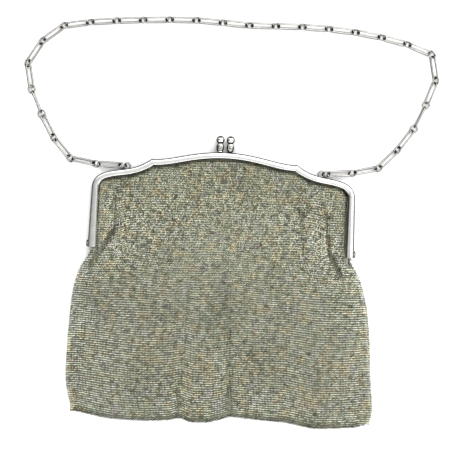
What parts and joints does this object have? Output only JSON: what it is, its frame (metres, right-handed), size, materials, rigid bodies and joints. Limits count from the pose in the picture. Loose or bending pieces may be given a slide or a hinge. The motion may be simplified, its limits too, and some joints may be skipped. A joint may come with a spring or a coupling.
{
  "type": "metal mesh purse",
  "caption": "Evening purse of fine metal ring mesh hung in a hinged arched frame with a kiss clasp and a chain of long links, lying on its back.",
  "frame": {"origin": "on the surface the purse lies on, on the centreline of the frame, level with the lower ends of the frame's arms at the hinges", "axes": "+X to the right as the front is seen, +Y from the hinges towards the clasp and chain, +Z out of the front, up from the surface it lies on"},
  "size_m": [0.3753, 0.3667, 0.011],
  "materials": {
    "frame_silver": "polished white metal, softly worn, with fine scratches and a little tarnish in the corners",
    "chain_silver": "polished round wire, worn bright, darker where links touch",
    "ring_mesh": "fine interlinked rings, tarnished to a warm grey with bright glints",
    "rivet_metal": "dull grey metal"
  },
  "bodies": {
    "root": {"frame_front": "frame_silver", "frame_back": "frame_silver", "hinge_rivet_right": "rivet_metal", "hinge_rivet_left": "rivet_metal", "mesh_bag": "ring_mesh", "chain": "chain_silver"}
  },
  "joints": []
}
